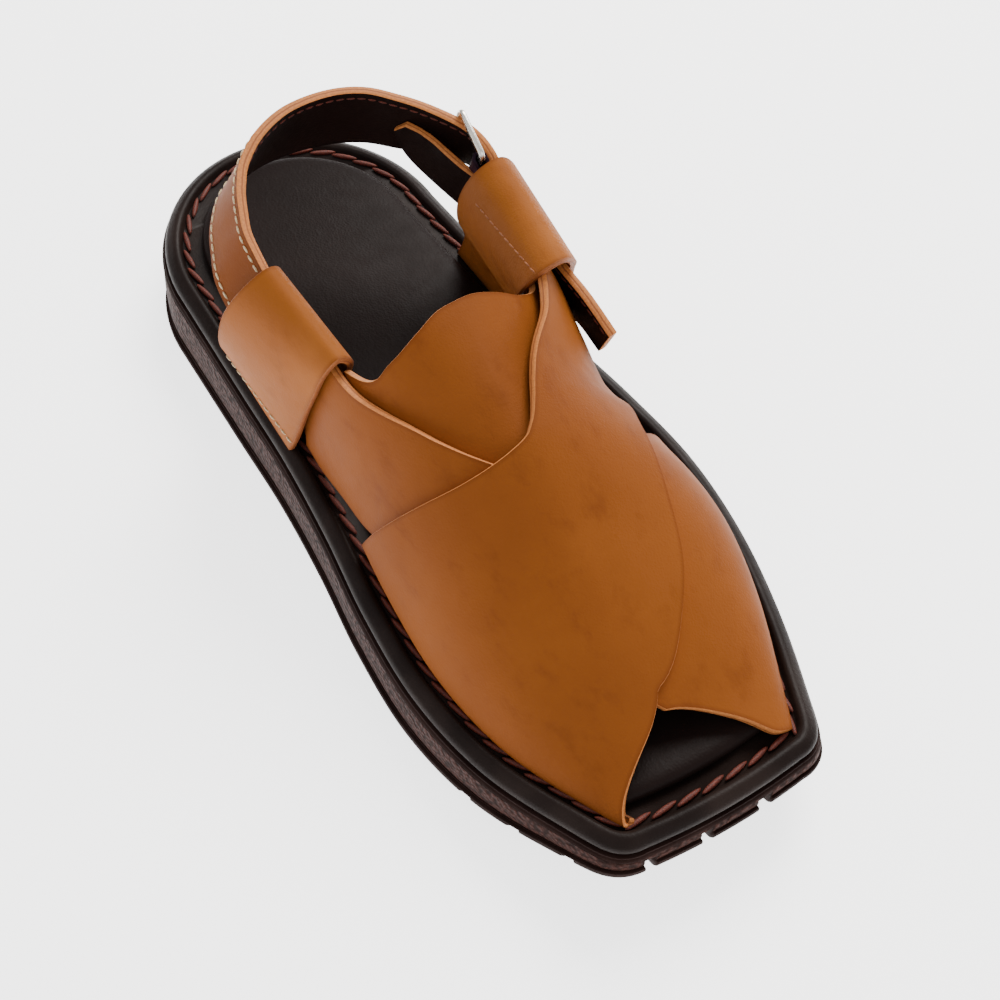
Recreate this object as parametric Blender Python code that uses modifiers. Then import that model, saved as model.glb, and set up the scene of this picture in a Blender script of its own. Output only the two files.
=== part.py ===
"""Peshawari chappal, left shoe: two wide crossed leather straps, a heel strap and a stitched square-toed sole.

Sizes are in millimetres and become metres when a mesh is made. The shoe stands on z = 0 with its toe
towards -Y, its heel towards +Y and its outer (lateral) side towards +X.
"""
import math
from collections import namedtuple

import bmesh
import bpy
from mathutils import Vector

MM = 0.001
FIT_GAP = 0.3

# Driving sizes of the sole
HALF_LENGTH = 144.0
HEEL_ARC_Y = 94.5
TOE_CORNER_RADIUS = 7.0
TOE_FRONT_BULGE = 1.7
WAIST_RIM = 26.2
HEEL_RISE = 6.6
TOE_RIM_RISE = 12.5
SPRING_START_Y = -58.0
TOE_SPRING = 17.2
CHANNEL_DEPTH = 2.2
TREAD_DEPTH = 3.4

# Driving sizes of the leather
STRAP_THICKNESS = 3.0
STRAP_SINK = 0.7
TONGUE_THICKNESS = 2.2
LOOP_THICKNESS = 2.4
HEEL_STRAP_THICKNESS = 3.0
GUARD_THICKNESS = 2.4
BUCKLE_WIRE_RADIUS = 1.2
BUCKLE_SKEW = 27.0
BUCKLE_SHARE = 12.4 / 19
BUCKLE_EASE = 2.6

# Half outline of the welt on each side of the centre line, from the toe corner to the start of the heel arc
SoleRow = namedtuple("SoleRow", "y medial lateral")
SOLE_ROWS = [
    SoleRow(-143.0, -31.8, 32.2),
    SoleRow(-130.0, -37.5, 39.0),
    SoleRow(-100.0, -48.5, 51.8),
    SoleRow(-70.0, -53.1, 60.0),
    SoleRow(-40.0, -52.4, 62.5),
    SoleRow(-10.0, -49.1, 59.4),
    SoleRow(20.0, -47.1, 54.4),
    SoleRow(50.0, -46.9, 51.6),
    SoleRow(94.5, -46.5, 47.3),
]

# Edge profiles: how far a ring stands outside the welt's outline, and its height above the ground
# surface ("ground") or below the welt's rim ("rim")
ProfileRow = namedtuple("ProfileRow", "grow height level")
OUTSOLE_PROFILE = [
    ProfileRow(1.6, 0.0, "ground"),
    ProfileRow(2.9, 0.9, "ground"),
    ProfileRow(3.7, 2.2, "ground"),
    ProfileRow(3.6, 3.9, "ground"),
    ProfileRow(2.7, 4.3, "ground"),
    ProfileRow(2.2, -8.4, "rim"),
    ProfileRow(1.0, -7.2, "rim"),
    ProfileRow(1.6, -6.8, "rim"),
    ProfileRow(1.5, -5.5, "rim"),
    ProfileRow(0.5, -5.1, "rim"),
]
MIDSOLE_PROFILE = [
    ProfileRow(-0.2, -4.8, "rim"),
    ProfileRow(0.5, -4.1, "rim"),
    ProfileRow(0.8, -2.6, "rim"),
    ProfileRow(0.4, -1.1, "rim"),
    ProfileRow(-0.7, -0.25, "rim"),
    ProfileRow(-2.2, 0.0, "rim"),
    ProfileRow(-4.0, -0.3, "rim"),
    ProfileRow(-5.2, -1.2, "rim"),
    ProfileRow(-5.7, -2.2, "rim"),
]
FOOTBED_PROFILE = [
    ProfileRow(-12.6, -1.9, "rim"),
    ProfileRow(-11.9, -1.0, "rim"),
    ProfileRow(-11.9, 0.6, "rim"),
    ProfileRow(-13.0, 2.0, "rim"),
    ProfileRow(-15.5, 3.0, "rim"),
    ProfileRow(-20.0, 3.5, "rim"),
]

# Sections of the last over which the straps are pulled: height of the top, place of the ridge, how full
# each side is (the exponent of its superellipse) and how far its foot stays inside the sole's edge
LastRow = namedtuple("LastRow", "y top ridge medial_fullness lateral_fullness medial_inset lateral_inset")
LAST_ROWS = [
    LastRow(-142.0, 33.0, -2.0, 1.8, 2.2, 8.2, 6.6),
    LastRow(-116.0, 41.5, -3.0, 1.8, 2.8, 8.2, 6.6),
    LastRow(-80.0, 61.0, -4.0, 1.8, 2.4, 8.2, 6.6),
    LastRow(-47.0, 80.0, -4.0, 1.8, 1.8, 8.2, 8.0),
    LastRow(-36.0, 84.2, -3.7, 1.93, 1.95, 8.0, 8.2),
    LastRow(-29.0, 86.9, -3.4, 2.03, 2.05, 7.8, 14.4),
    LastRow(-20.0, 90.0, -3.0, 2.15, 2.2, 7.6, 16.6),
    LastRow(10.0, 99.0, -1.0, 3.1, 2.5, 6.4, 12.5),
    LastRow(40.0, 103.0, 0.0, 3.4, 2.6, 6.2, 12.0),
]

# Cut edges of the two straps and the tongue, laid out on the last: around is -1 at the medial foot of a
# section, 0 on its ridge and 1 at the lateral foot
StrapRow = namedtuple("StrapRow", "rear_around rear_y front_around front_y")
TOP_STRAP_ROWS = [
    StrapRow(0.495, 15.0, 0.86, 15.0),
    StrapRow(0.45, 3.0, 0.785, 1.0),
    StrapRow(0.385, -8.0, 0.71, -14.0),
    StrapRow(0.28, -18.5, 0.64, -29.0),
    StrapRow(0.13, -35.0, 0.52, -50.0),
    StrapRow(0.045, -42.3, 0.335, -69.5),
    StrapRow(-0.05, -45.5, 0.25, -86.0),
    StrapRow(-0.205, -46.3, 0.14, -99.0),
    StrapRow(-0.36, -44.3, 0.02, -110.0),
    StrapRow(-0.53, -39.2, -0.14, -118.0),
    StrapRow(-0.70, -33.0, -0.40, -125.0),
    StrapRow(-0.86, -26.5, -0.70, -131.3),
    StrapRow(-1.0, -20.5, -1.0, -136.4),
]
UNDER_STRAP_ROWS = [
    StrapRow(1.0, -35.0, 1.0, -134.6),
    StrapRow(0.84, -38.0, 0.76, -135.2),
    StrapRow(0.68, -41.5, 0.52, -134.0),
    StrapRow(0.48, -48.0, 0.28, -127.7),
    StrapRow(0.30, -55.0, 0.08, -120.5),
    StrapRow(0.12, -58.0, -0.12, -110.0),
    StrapRow(-0.06, -55.0, -0.33, -94.0),
    StrapRow(-0.21, -46.0, -0.52, -75.0),
    StrapRow(-0.335, -33.6, -0.68, -54.0),
    StrapRow(-0.43, -22.5, -0.81, -33.5),
    StrapRow(-0.525, -11.8, -0.915, -18.0),
    StrapRow(-0.59, -3.5, -0.965, -5.0),
    StrapRow(-0.625, 4.0, -0.99, 6.0),
    StrapRow(-0.64, 14.0, -0.995, 19.0),
]
TONGUE_ROWS = [
    StrapRow(0.525, 9.5, 0.58, -10.0),
    StrapRow(0.475, 0.9, 0.50, -30.0),
    StrapRow(0.34, -3.6, 0.34, -53.0),
    StrapRow(0.20, -3.5, 0.18, -68.0),
    StrapRow(0.07, -2.6, 0.06, -72.0),
    StrapRow(-0.04, -3.2, -0.06, -73.0),
    StrapRow(-0.16, -5.6, -0.20, -72.0),
    StrapRow(-0.295, -6.9, -0.33, -67.0),
    StrapRow(-0.40, -6.5, -0.43, -59.0),
    StrapRow(-0.48, -5.8, -0.50, -50.0),
    StrapRow(-0.55, -2.2, -0.58, -36.0),
    StrapRow(-0.62, 5.0, -0.645, -20.0),
]

# Leather bands folded over the strap ends: a row for each station around the fold, from the outer layer's
# foot over the crown to the inner layer's foot; out is the distance from the centre line
LoopRow = namedtuple("LoopRow", "front_out front_y front_z rear_out rear_y rear_z")
MEDIAL_LOOP_ROWS = [
    LoopRow(44.8, 21.0, 27.6, 44.6, 65.0, 29.6),
    LoopRow(44.0, 17.0, 38.0, 48.4, 58.5, 41.0),
    LoopRow(43.0, 12.5, 52.0, 51.0, 51.5, 55.0),
    LoopRow(41.6, 8.5, 64.0, 50.4, 46.5, 68.0),
    LoopRow(39.4, 6.0, 74.0, 46.2, 42.5, 78.5),
    LoopRow(35.4, 5.0, 79.2, 39.0, 41.0, 84.4),
    LoopRow(31.4, 6.0, 76.0, 34.6, 43.0, 80.5),
    LoopRow(30.0, 9.0, 68.0, 34.0, 48.0, 70.0),
    LoopRow(32.2, 13.0, 55.0, 36.6, 53.0, 56.0),
    LoopRow(35.0, 17.0, 41.0, 38.2, 59.5, 42.0),
    LoopRow(37.0, 21.0, 25.4, 37.6, 65.0, 27.4),
]
LATERAL_LOOP_ROWS = [
    LoopRow(50.6, 27.0, 27.9, 48.0, 67.0, 29.9),
    LoopRow(50.4, 22.0, 39.0, 50.8, 61.0, 41.0),
    LoopRow(50.2, 16.5, 54.0, 53.6, 55.5, 56.0),
    LoopRow(47.4, 11.0, 68.0, 51.8, 50.5, 69.0),
    LoopRow(42.8, 7.0, 79.5, 47.8, 47.0, 80.2),
    LoopRow(36.2, 4.0, 88.0, 41.2, 44.5, 88.0),
    LoopRow(29.2, 5.0, 85.2, 34.4, 46.0, 84.0),
    LoopRow(26.0, 9.0, 74.0, 32.2, 50.0, 73.0),
    LoopRow(30.6, 14.0, 58.0, 35.0, 55.5, 58.0),
    LoopRow(39.6, 20.0, 42.0, 41.4, 61.0, 42.0),
    LoopRow(44.4, 26.0, 26.0, 42.6, 67.0, 27.9),
]

# Centre lines of the straps at the heel; lean is how far the lower edge stands outwards, in degrees
BandRow = namedtuple("BandRow", "x y z lean width")
HEEL_STRAP_ROWS = [
    BandRow(-40.4, 32.0, 67.0, 20.0, 21.0),
    BandRow(-42.2, 44.0, 71.0, 24.0, 21.0),
    BandRow(-42.0, 56.0, 75.8, 27.0, 21.0),
    BandRow(-39.6, 64.4, 78.5, 27.0, 21.0),
    BandRow(-35.8, 72.5, 81.3, 27.0, 21.0),
    BandRow(-30.0, 79.7, 83.5, 26.0, 21.0),
    BandRow(-20.4, 85.7, 85.3, 21.0, 21.0),
    BandRow(-8.0, 88.6, 86.2, 12.0, 21.0),
    BandRow(5.6, 87.6, 86.4, 6.0, 21.0),
    BandRow(16.3, 83.6, 86.0, 4.0, 21.0),
    BandRow(24.9, 76.8, 84.8, 6.0, 21.0),
    BandRow(33.0, 69.9, 83.0, 12.0, 21.0),
    BandRow(39.8, 62.8, 81.0, 18.0, 21.0),
    BandRow(43.6, 56.4, 77.8, 19.0, 21.0),
    BandRow(45.2, 49.6, 73.6, 18.0, 21.0),
    BandRow(45.4, 40.0, 70.0, 15.5, 21.0),
    BandRow(44.8, 25.0, 68.0, 14.0, 21.0),
    BandRow(43.2, 9.0, 66.4, 13.0, 21.0),
    BandRow(44.2, -3.0, 64.0, 14.0, 21.0),
    BandRow(45.6, -12.7, 59.6, 14.0, 20.0),
]
GUARD_ROWS = [
    BandRow(24.0, 73.6, 82.0, 6.0, 7.0),
    BandRow(26.9, 70.6, 79.0, 6.0, 14.5),
    BandRow(30.6, 65.4, 76.0, 6.0, 18.5),
    BandRow(34.6, 57.0, 72.5, 7.0, 19.0),
    BandRow(38.0, 48.0, 70.0, 8.0, 19.0),
    BandRow(39.6, 37.0, 69.0, 10.0, 19.0),
]

# Tread grooves across the sole: place along the sole, width along it, and how near the edge it runs
GrooveRow = namedtuple("GrooveRow", "y width edge_margin")
GROOVE_ROWS = [GrooveRow(y, 5.0, -8.0) for y in (-131.0, -114.0, -97.0)]
GROOVE_ROWS += [GrooveRow(y, 5.0, 7.0) for y in (-80.0, -63.0, -46.0, -29.0, -12.0, 55.0, 72.0, 89.0, 106.0, 123.0)]
ToeNotchRow = namedtuple("ToeNotchRow", "x width")
TOE_NOTCH_ROWS = [ToeNotchRow(-25.0, 3.6), ToeNotchRow(-7.5, 3.8), ToeNotchRow(12.0, 5.0)]


def smooth(rows, column, at):
    """Value of a named column at a place along the rows' first column, on a smooth curve."""
    places = [row[0] for row in rows]
    values = [getattr(row, column) for row in rows]
    return hermite(places, values, at)


def hermite(places, values, at):
    last_span = len(places) - 2
    span = max([k for k in range(last_span + 1) if places[k] <= at], default=0)
    width = places[span + 1] - places[span]
    t = (at - places[span]) / width

    def slope(k):
        low, high = max(k - 1, 0), min(k + 1, len(places) - 1)
        return (values[high] - values[low]) / (places[high] - places[low])

    start = (1 + 2 * t) * (1 - t) ** 2 * values[span] + t * (1 - t) ** 2 * width * slope(span)
    return start + t * t * (3 - 2 * t) * values[span + 1] + t * t * (t - 1) * width * slope(span + 1)


def along(rows, column, share):
    """Value of a named column at a share from 0 to 1 of the rows, which count as evenly spaced."""
    return hermite(list(range(len(rows))), [getattr(row, column) for row in rows], share * (len(rows) - 1))


def spring(y):
    return max(0.0, (SPRING_START_Y - y) / (SPRING_START_Y + HALF_LENGTH))


def ground_height(y):
    return TOE_SPRING * spring(y) ** 2


def rim_height(y):
    return WAIST_RIM + HEEL_RISE * y / HALF_LENGTH + TOE_RIM_RISE * spring(y) ** 2


def side_edge(side, y, grow):
    """X of the sole's edge on one side, grown square to the edge."""
    slope = smooth(SOLE_ROWS, side, y + 0.5) - smooth(SOLE_ROWS, side, y - 0.5)
    outwards = 1 if side == "lateral" else -1
    return smooth(SOLE_ROWS, side, y) + outwards * grow * math.hypot(1.0, slope)


def half_outline(side, grow):
    """Points from the middle of the toe round one side to the middle of the heel."""
    outwards = 1 if side == "lateral" else -1
    front_y = -HALF_LENGTH + TOE_FRONT_BULGE - grow
    corner = Vector((side_edge(side, front_y, grow), front_y))
    radius = max(TOE_CORNER_RADIUS + 0.5 * grow, 3.0)
    on_side = Vector((side_edge(side, front_y + radius, grow), front_y + radius))
    on_front = Vector((corner.x - outwards * radius, front_y))
    points = []
    front_steps = 5
    for step in range(front_steps):
        share = step / front_steps
        points.append(Vector((on_front.x * share, front_y - TOE_FRONT_BULGE * (1 - share ** 2))))
    corner_steps = 4
    for step in range(corner_steps):
        t = step / corner_steps
        points.append(on_front * (1 - t) ** 2 + corner * 2 * t * (1 - t) + on_side * t ** 2)
    side_steps = 22
    for step in range(side_steps):
        y = on_side.y + (HEEL_ARC_Y - on_side.y) * step / side_steps
        points.append(Vector((side_edge(side, y, grow), y)))
    heel_steps = 10
    reach = abs(side_edge(side, HEEL_ARC_Y, grow))
    depth = HALF_LENGTH - HEEL_ARC_Y + grow
    for step in range(heel_steps + 1):
        angle = step / heel_steps * math.pi / 2
        points.append(Vector((outwards * reach * math.cos(angle), HEEL_ARC_Y + depth * math.sin(angle))))
    return points


def edge_ring(row):
    """One closed ring of a sole layer, as 3-D points, medial side first."""
    medial = half_outline("medial", row.grow)
    lateral = half_outline("lateral", row.grow)
    ring = medial + lateral[-2:0:-1]
    base = ground_height if row.level == "ground" else rim_height
    return [Vector((p.x, p.y, base(p.y) + row.height)) for p in ring]


def sole_centre():
    """Middle of the sole seen from above; it becomes the origin."""
    widest = max(row.grow for row in OUTSOLE_PROFILE)
    points = half_outline("medial", widest) + half_outline("lateral", widest)
    xs = [p.x for p in points]
    ys = [p.y for p in points]
    return Vector(((min(xs) + max(xs)) / 2, (min(ys) + max(ys)) / 2, 0.0))


def placed(point):
    """A point in millimetres of the sole's layout, as metres from the origin."""
    return (Vector(point) - SOLE_CENTRE) * MM


def add_object(name, mesh, colour, roughness, metallic=0.0, collection=None):
    """Link a mesh as an object with its own material."""
    item = bpy.data.objects.new(name, mesh)
    (collection or parts).objects.link(item)
    material = bpy.data.materials.new(name)
    material.use_nodes = True
    shader = material.node_tree.nodes["Principled BSDF"]
    shader.inputs["Base Color"].default_value = (*colour, 1.0)
    shader.inputs["Roughness"].default_value = roughness
    shader.inputs["Metallic"].default_value = metallic
    mesh.materials.append(material)
    return item


def finish_mesh(name, bm, sharp_degrees=35.0):
    """Turn a bmesh into a mesh with its faces outwards, smooth but for its corners."""
    bmesh.ops.recalc_face_normals(bm, faces=bm.faces)
    mesh = bpy.data.meshes.new(name)
    bm.to_mesh(mesh)
    bm.free()
    mesh.shade_smooth()
    mesh.set_sharp_from_angle(angle=math.radians(sharp_degrees))
    return mesh


def layer_mesh(name, profile):
    """A sole layer: rings of its edge profile, closed by strips straight across from side to side."""
    bm = bmesh.new()
    rings = [[bm.verts.new(placed(p)) for p in edge_ring(row)] for row in profile]
    count = len(rings[0])
    for lower, upper in zip(rings, rings[1:]):
        for k in range(count):
            bm.faces.new((lower[k], lower[(k + 1) % count], upper[(k + 1) % count], upper[k]))
    middle = count // 2
    for ring in (rings[0], rings[-1]):
        bm.faces.new((ring[0], ring[1], ring[-1]))
        for k in range(1, middle - 1):
            bm.faces.new((ring[k], ring[k + 1], ring[-k - 1], ring[-k]))
        bm.faces.new((ring[middle - 1], ring[middle], ring[middle + 1]))
    return finish_mesh(name, bm)


def box_cutter(name, centre, size, tilt=0.0):
    """A box in the cutters' collection, turned about X by tilt radians."""
    bm = bmesh.new()
    bmesh.ops.create_cube(bm, size=1.0)
    bmesh.ops.scale(bm, vec=Vector(size) * MM, verts=bm.verts)
    mesh = finish_mesh(name, bm)
    cutter = bpy.data.objects.new(name, mesh)
    cutters.objects.link(cutter)
    cutter.location = placed(centre)
    cutter.rotation_euler.x = tilt
    cutter.hide_render = True
    cutter.display_type = "WIRE"
    return cutter


def cut(item, cutter):
    boolean = item.modifiers.new("Cut " + cutter.name, "BOOLEAN")
    boolean.operation = "DIFFERENCE"
    boolean.solver = "EXACT"
    boolean.object = cutter


def last_point(around, y):
    """Point of the last's section at y, from the medial foot (-1) over the ridge (0) to the lateral (1)."""
    side = "lateral" if around > 0 else "medial"
    fullness = smooth(LAST_ROWS, side + "_fullness", y)
    ridge = smooth(LAST_ROWS, "ridge", y)
    top = smooth(LAST_ROWS, "top", y)
    base = rim_height(y) - CHANNEL_DEPTH + FIT_GAP
    foot = side_edge(side, y, -smooth(LAST_ROWS, side + "_inset", y))
    angle = min(abs(around), 1.0) * math.pi / 2
    x = ridge + (foot - ridge) * math.sin(angle) ** (2 / fullness)
    return Vector((x, y, base + (top - base) * math.cos(angle) ** (2 / fullness)))


def on_last(around, y, lift):
    """A point lifted off the last, square to it."""
    step = 0.004
    middle = min(max(around, -1 + 2 * step), 1 - 2 * step)
    across = last_point(middle + step, y) - last_point(middle - step, y)
    down_foot = last_point(middle, y + 1.0) - last_point(middle, y - 1.0)
    return last_point(around, y) + across.cross(down_foot).normalized() * lift


def grid_shell(name, place, columns, rows, thickness, inwards=True):
    """An open sheet of columns by rows whose points come from place(u, v), made solid by its thickness."""
    bm = bmesh.new()
    bmesh.ops.create_grid(bm, x_segments=columns, y_segments=rows, size=1.0)
    for vertex in bm.verts:
        vertex.co = placed(place((vertex.co.x + 1) / 2, (vertex.co.y + 1) / 2))
    mesh = bpy.data.meshes.new(name)
    bm.to_mesh(mesh)
    bm.free()
    mesh.shade_smooth()
    return mesh, dict(thickness=thickness * MM, offset=-1.0 if inwards else 0.0)


def leather_piece(name, place, columns, rows, thickness, colour, roughness, inwards=True, collection=None):
    mesh, settings = grid_shell(name, place, columns, rows, thickness, inwards)
    item = add_object(name, mesh, colour, roughness, collection=collection)
    wall = item.modifiers.new("Leather thickness", "SOLIDIFY")
    wall.thickness = settings["thickness"]
    wall.offset = settings["offset"]
    wall.use_even_offset = True
    return item


def strap_place(rows, lift):
    """Map a share along a strap and a share across it to a point on the last."""
    def place(u, v):
        around = (1 - v) * along(rows, "rear_around", u) + v * along(rows, "front_around", u)
        y = (1 - v) * along(rows, "rear_y", u) + v * along(rows, "front_y", u)
        around = min(max(around, -1.0), 1.0)
        return on_last(around, y, lift(around))
    return place


def band_frame(rows, u):
    """Centre, outward normal, width direction and width of a band at a share of its length."""
    centre = Vector([along(rows, axis, u) for axis in "xyz"])
    step = 0.01
    low, high = max(u - step, 0.0), min(u + step, 1.0)
    run = Vector([along(rows, axis, high) - along(rows, axis, low) for axis in "xyz"]).normalized()
    sideways = run.cross(Vector((0, 0, 1))).normalized()
    if sideways.dot(Vector((centre.x, centre.y - 20.0, 0.0))) < 0:
        sideways = -sideways
    lean = math.radians(along(rows, "lean", u))
    down = (sideways * math.sin(lean) - Vector((0, 0, 1)) * math.cos(lean))
    down = (down - run * down.dot(run)).normalized()
    return centre, run, down, along(rows, "width", u)


def band_place(rows):
    def place(u, v):
        centre, run, down, width = band_frame(rows, u)
        return centre + down * width * (v - 0.5)
    return place


def wire(name, points, radius, colour, roughness, metallic, closed=False):
    """A round wire along a poly line, made a closed mesh."""
    curve = bpy.data.curves.new(name, "CURVE")
    curve.dimensions = "3D"
    curve.bevel_depth = radius * MM
    curve.bevel_resolution = 2
    curve.use_fill_caps = not closed
    spline = curve.splines.new("POLY")
    spline.points.add(len(points) - 1)
    for slot, point in zip(spline.points, points):
        slot.co = (*placed(point), 1.0)
    spline.use_cyclic_u = closed
    rope = bpy.data.objects.new(name + "_path", curve)
    parts.objects.link(rope)
    mesh = bpy.data.meshes.new_from_object(rope.evaluated_get(bpy.context.evaluated_depsgraph_get()))
    bpy.data.objects.remove(rope)
    bm = bmesh.new()
    bm.from_mesh(mesh)
    bmesh.ops.remove_doubles(bm, verts=bm.verts, dist=0.00001)
    bmesh.ops.recalc_face_normals(bm, faces=bm.faces)
    bm.to_mesh(mesh)
    bm.free()
    mesh.name = name
    mesh.shade_smooth()
    return add_object(name, mesh, colour, roughness, metallic)


def make_outsole():
    """Moulded rubber: a flared wall with lips and a recessed strip, grooves below and notches at the toe."""
    outsole = add_object("outsole", layer_mesh("outsole", OUTSOLE_PROFILE), (0.035, 0.022, 0.02), 0.6)
    for number, row in enumerate(GROOVE_ROWS):
        left = side_edge("medial", row.y, -row.edge_margin)
        right = side_edge("lateral", row.y, -row.edge_margin)
        slope = math.atan2(ground_height(row.y + 1) - ground_height(row.y - 1), 2.0)
        centre = ((left + right) / 2, row.y, ground_height(row.y))
        cut(outsole, box_cutter(f"groove_{number}", centre, (right - left, row.width, 2 * TREAD_DEPTH), slope))
    for number, row in enumerate(TOE_NOTCH_ROWS):
        centre = (row.x, -HALF_LENGTH + 2.0, ground_height(-HALF_LENGTH) - 0.2)
        cut(outsole, box_cutter(f"toe_notch_{number}", centre, (row.width, 22.0, 12.0), math.radians(-20)))
    return outsole


def make_upper():
    """The two crossed straps, sewn down along the welt and fused where the top one lies on the other."""
    tan = (0.42, 0.15, 0.045)

    def raised(around):
        ease = min(max((around + 1.0) / 0.08, 0.0), 1.0)
        return (STRAP_THICKNESS - STRAP_SINK) * ease * ease * (3 - 2 * ease)

    upper = leather_piece("upper", strap_place(UNDER_STRAP_ROWS, lambda around: 0.0), 34, 12,
                          STRAP_THICKNESS, tan, 0.5)
    top = leather_piece("top_strap", strap_place(TOP_STRAP_ROWS, raised), 34, 14, STRAP_THICKNESS, tan, 0.5,
                        collection=cutters)
    top.hide_render = True
    top.display_type = "WIRE"
    join = upper.modifiers.new("Join at the crossing", "BOOLEAN")
    join.operation = "UNION"
    join.solver = "EXACT"
    join.object = top
    return upper


def make_tongue():
    """The scalloped piece under the V of the straps, its corners tucked into the two loops."""
    below_straps = -(STRAP_THICKNESS + FIT_GAP)
    return leather_piece("tongue", strap_place(TONGUE_ROWS, lambda around: below_straps), 22, 8,
                         TONGUE_THICKNESS, (0.40, 0.14, 0.04), 0.5)


def make_loop(name, rows, side):
    """A band of leather that rises from the welt, folds over the strap ends and goes down inside."""
    outwards = 1 if side == "lateral" else -1

    def place(u, v):
        out = (1 - v) * along(rows, "front_out", u) + v * along(rows, "rear_out", u)
        y = (1 - v) * along(rows, "front_y", u) + v * along(rows, "rear_y", u)
        z = (1 - v) * along(rows, "front_z", u) + v * along(rows, "rear_z", u)
        return Vector((outwards * out, y, z))

    return leather_piece(name, place, 26, 5, LOOP_THICKNESS, (0.42, 0.15, 0.045), 0.5, inwards=False)


def make_heel_strap():
    """The strap from the medial loop round the heel, through the buckle and out of the lateral loop."""
    strap = leather_piece("heel_strap", band_place(HEEL_STRAP_ROWS), 76, 2, HEEL_STRAP_THICKNESS,
                          (0.42, 0.15, 0.045), 0.5, inwards=False)
    return strap


def make_guard():
    """The tab inside the heel strap that keeps the buckle off the ankle."""
    return leather_piece("buckle_guard", band_place(GUARD_ROWS), 14, 2, GUARD_THICKNESS,
                         (0.42, 0.15, 0.045), 0.5, inwards=False)


def make_buckle():
    """A wire frame that the heel strap passes through, bar by bar: one inside it and one outside."""
    centre, run, down, width = band_frame(HEEL_STRAP_ROWS, BUCKLE_SHARE)
    outwards = run.cross(down).normalized()
    if outwards.x < 0:
        outwards = -outwards
    skew = math.radians(BUCKLE_SKEW)
    down = down * math.cos(skew) + run * math.sin(skew)
    half_long = width / 2 / math.cos(skew) + BUCKLE_WIRE_RADIUS + BUCKLE_EASE
    half_wide = HEEL_STRAP_THICKNESS / 2 / math.cos(skew) + BUCKLE_WIRE_RADIUS + FIT_GAP + 0.2
    corner = 1.2
    points = []
    for turn, (a, b) in enumerate(((1, 1), (-1, 1), (-1, -1), (1, -1))):
        middle = Vector((a * (half_long - corner), b * (half_wide - corner)))
        for step in range(4):
            angle = math.radians(90 * turn + (step - 0.0) * 30)
            flat = middle + Vector((math.cos(angle), math.sin(angle))) * corner
            points.append(centre - down * flat.x + outwards * flat.y)
    return wire("buckle_frame", points, BUCKLE_WIRE_RADIUS, (0.75, 0.72, 0.65), 0.2, 1.0, closed=True)


SOLE_CENTRE = sole_centre()
for old in list(bpy.data.objects):
    bpy.data.objects.remove(old)
parts = bpy.data.collections.new("peshawari_chappal")
cutters = bpy.data.collections.new("cutters")
for collection in (parts, cutters):
    bpy.context.scene.collection.children.link(collection)

make_outsole()
add_object("midsole", layer_mesh("midsole", MIDSOLE_PROFILE), (0.075, 0.06, 0.053), 0.55)
add_object("footbed", layer_mesh("footbed", FOOTBED_PROFILE), (0.045, 0.034, 0.032), 0.45)
make_upper()
make_tongue()
make_loop("loop_medial", MEDIAL_LOOP_ROWS, "medial")
make_loop("loop_lateral", LATERAL_LOOP_ROWS, "lateral")
make_heel_strap()
make_guard()
make_buckle()
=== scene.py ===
import math
from collections import namedtuple

import bmesh
import bpy
import numpy as np
from mathutils import Matrix, Vector


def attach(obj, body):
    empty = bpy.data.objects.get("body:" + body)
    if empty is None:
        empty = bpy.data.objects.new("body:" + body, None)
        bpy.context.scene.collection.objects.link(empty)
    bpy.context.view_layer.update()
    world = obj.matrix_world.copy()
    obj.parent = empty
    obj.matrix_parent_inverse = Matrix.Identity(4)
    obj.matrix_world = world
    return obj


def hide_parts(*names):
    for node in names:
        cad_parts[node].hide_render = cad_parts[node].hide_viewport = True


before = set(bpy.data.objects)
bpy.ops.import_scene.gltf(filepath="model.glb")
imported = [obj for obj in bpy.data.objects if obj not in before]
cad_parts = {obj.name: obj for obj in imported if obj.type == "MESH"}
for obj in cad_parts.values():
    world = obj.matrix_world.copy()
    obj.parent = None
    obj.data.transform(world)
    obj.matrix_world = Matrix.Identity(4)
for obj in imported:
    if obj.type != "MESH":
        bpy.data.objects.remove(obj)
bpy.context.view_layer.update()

# Floor, light and camera.
# A pale table top under soft studio light, strongest from the rear on the outer side. The camera
# stands in front of the toe, on the inner side, and looks steeply down.
EYE = Vector((-0.17366, -0.27152, 0.43804))
EYE_RIGHT = Vector((0.88457, -0.46392, -0.04819))
EYE_UP = Vector((0.39370, 0.68727, 0.61046))
EYE_FORWARD = Vector((0.25008, 0.55897, -0.79058))
AIM = EYE_FORWARD * 1375.4 + EYE_RIGHT * 154.0 - EYE_UP * 44.0

eye_data = bpy.data.cameras.new("camera")
eye_data.lens = 60.5
eye_data.sensor_width = 36.0
camera = bpy.data.objects.new("camera", eye_data)
bpy.context.scene.collection.objects.link(camera)
backwards = -AIM.normalized()
side = EYE_UP.cross(backwards).normalized()
camera.matrix_world = Matrix.Translation(EYE) @ Matrix(
    (side, backwards.cross(side), backwards)).transposed().to_4x4()
bpy.context.scene.camera = camera


def add_lamp(name, place, target, width, power, colour):
    lamp = bpy.data.lights.new(name, "AREA")
    lamp.shape = "DISK"
    lamp.size = width
    lamp.energy = power
    lamp.color = colour
    holder = bpy.data.objects.new(name, lamp)
    holder.location = place
    holder.rotation_euler = (Vector(target) - Vector(place)).to_track_quat("-Z", "Y").to_euler()
    bpy.context.scene.collection.objects.link(holder)


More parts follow.
